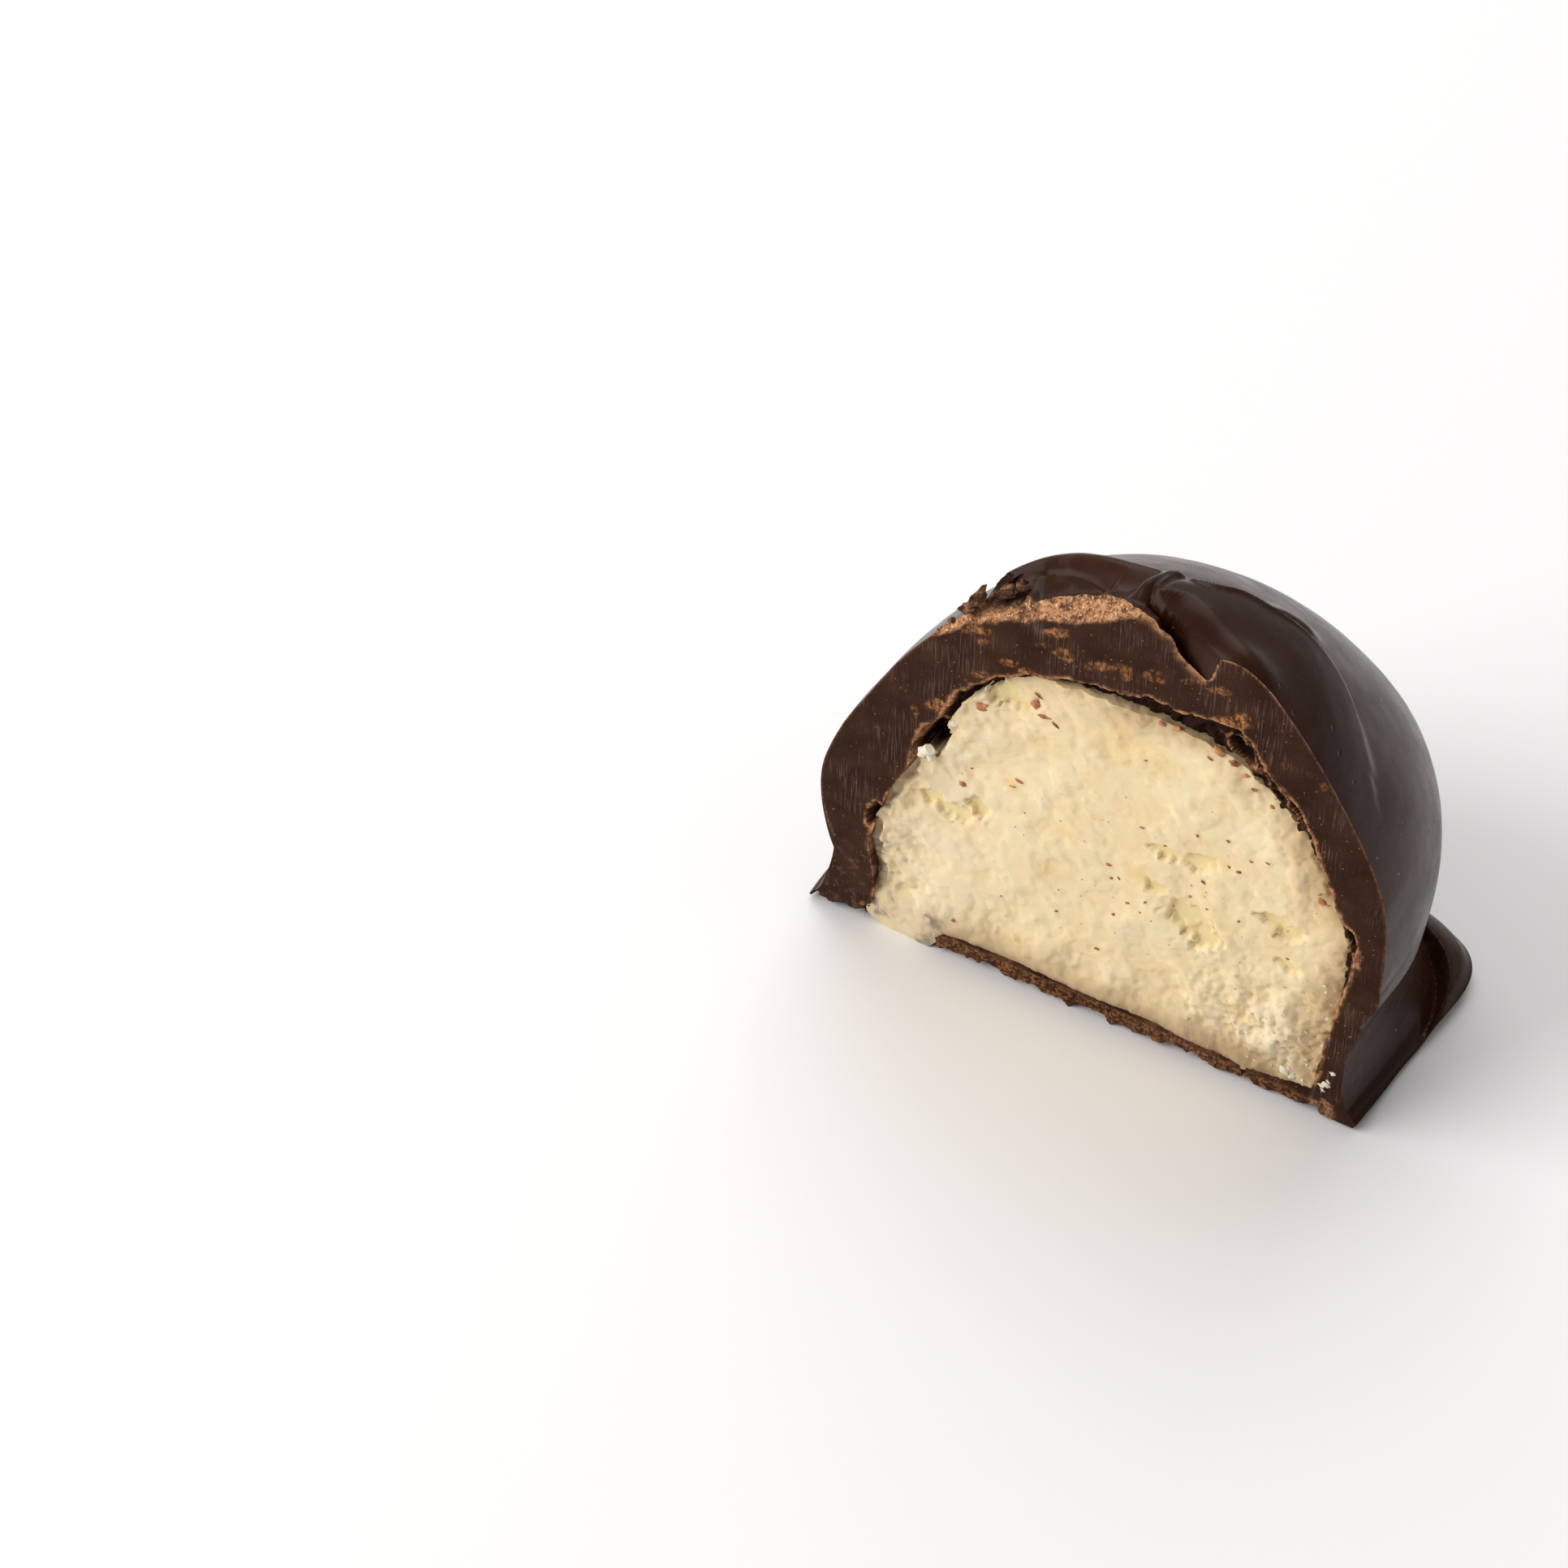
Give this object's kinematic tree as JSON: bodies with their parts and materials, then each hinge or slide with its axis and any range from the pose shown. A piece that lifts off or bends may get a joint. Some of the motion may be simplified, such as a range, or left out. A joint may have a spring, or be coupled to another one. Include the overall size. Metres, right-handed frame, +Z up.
{
  "type": "filled chocolate half",
  "caption": "Half of a hand-dipped dark chocolate, cut open to show a thick shell, a thin base and a crumbly pale cream centre.",
  "frame": {"origin": "middle of the box's underside, on the surface that the chocolate stands on", "axes": "+Z up, +X along the cut to the right as seen from in front of the cut, +Y from the cut back into the chocolate"},
  "size_m": [0.0302, 0.0176, 0.0262],
  "materials": {
    "dark_chocolate": "satin dark chocolate outside, matt where it was cut",
    "cream_centre": "matt, crumbly, pale cream"
  },
  "bodies": {
    "root": {"chocolate_shell": "dark_chocolate", "cream_filling": "cream_centre"}
  },
  "joints": []
}
